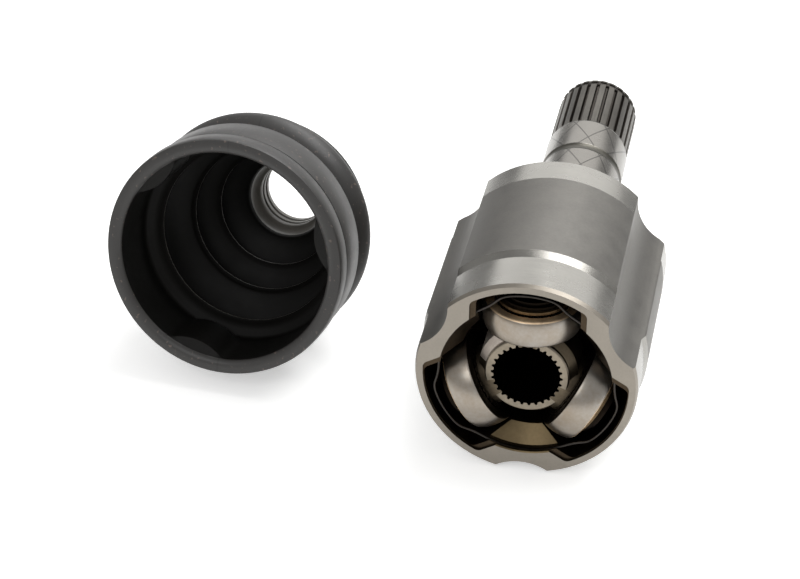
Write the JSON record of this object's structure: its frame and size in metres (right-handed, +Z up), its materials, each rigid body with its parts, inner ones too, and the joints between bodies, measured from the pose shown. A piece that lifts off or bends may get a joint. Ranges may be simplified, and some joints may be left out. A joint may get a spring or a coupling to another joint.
{
  "type": "cv joint",
  "caption": "Plunging tripod constant-velocity joint: lobed cup with splined stub, tripod with crowned rollers, and its convoluted rubber boot lying beside it.",
  "frame": {"origin": "centre of the tripod, where the three trunnion axes meet the housing axis", "axes": "+Z up; +Y along the housing axis towards the splined stub, mouth towards -Y; +X to the right seen from the mouth"},
  "size_m": [0.1959, 0.1933, 0.0926],
  "materials": {
    "housing_steel": "forged and turned, satin",
    "spider_steel": "machined and hardened",
    "roller_steel": "ground bearing steel",
    "needle_steel": "ground bearing steel",
    "washer_steel": "stamped spring steel, oiled",
    "wire_steel": "drawn spring wire",
    "boot_rubber": "moulded rubber, matte"
  },
  "bodies": {
    "housing": {"housing": "housing_steel", "wire_retaining_ring": "wire_steel", "stub_circlip": "wire_steel"},
    "bearing_1": {"needle_retainer_1": "washer_steel", "snap_ring_1": "washer_steel"},
    "tripod": {"spider": "spider_steel", "needle_retainer_2": "washer_steel", "snap_ring_2": "washer_steel", "needle_retainer_3": "washer_steel", "snap_ring_3": "washer_steel"},
    "needles_1": {"needle_rollers_1": "needle_steel"},
    "roller_1": {"roller_1": "roller_steel"},
    "needles_2": {"needle_rollers_2": "needle_steel"},
    "roller_2": {"roller_2": "roller_steel"},
    "needles_3": {"needle_rollers_3": "needle_steel"},
    "roller_3": {"roller_3": "roller_steel"},
    "boot": {"boot": "boot_rubber"}
  },
  "joints": [
    {"name": "plunge", "type": "slide", "parent": "housing", "child": "bearing_1", "axis": [0, 1, 0], "range_m": [-0.0005, 0.03]},
    {"name": "articulation", "type": "hinge", "parent": "bearing_1", "child": "tripod", "pos_m": [0, 0, 0], "axis": [0, 0, 1], "range_deg": [-15, 15]},
    {"name": "needles_1_spin", "type": "hinge", "parent": "bearing_1", "child": "needles_1", "pos_m": [0, 0, 0.0206], "axis": [0, 0, 1], "continuous": true},
    {"name": "roller_1_slide", "type": "slide", "parent": "needles_1", "child": "roller_1", "axis": [0, 0, 1], "range_m": [-0.0002, 0.0012]},
    {"name": "needles_2_spin", "type": "hinge", "parent": "tripod", "child": "needles_2", "pos_m": [-0.01784, 0, -0.0103], "axis": [-0.866, 0, -0.5], "continuous": true},
    {"name": "roller_2_slide", "type": "slide", "parent": "needles_2", "child": "roller_2", "axis": [-0.866, 0, -0.5], "range_m": [-0.0002, 0.0012]},
    {"name": "needles_3_spin", "type": "hinge", "parent": "tripod", "child": "needles_3", "pos_m": [0.01784, 0, -0.0103], "axis": [0.866, 0, -0.5], "continuous": true},
    {"name": "roller_3_slide", "type": "slide", "parent": "needles_3", "child": "roller_3", "axis": [0.866, 0, -0.5], "range_m": [-0.0002, 0.0012]},
    {"name": "boot_slide", "type": "slide", "parent": "housing", "child": "boot", "axis": [-1, 0, 0], "range_m": [0, 0.1]}
  ]
}
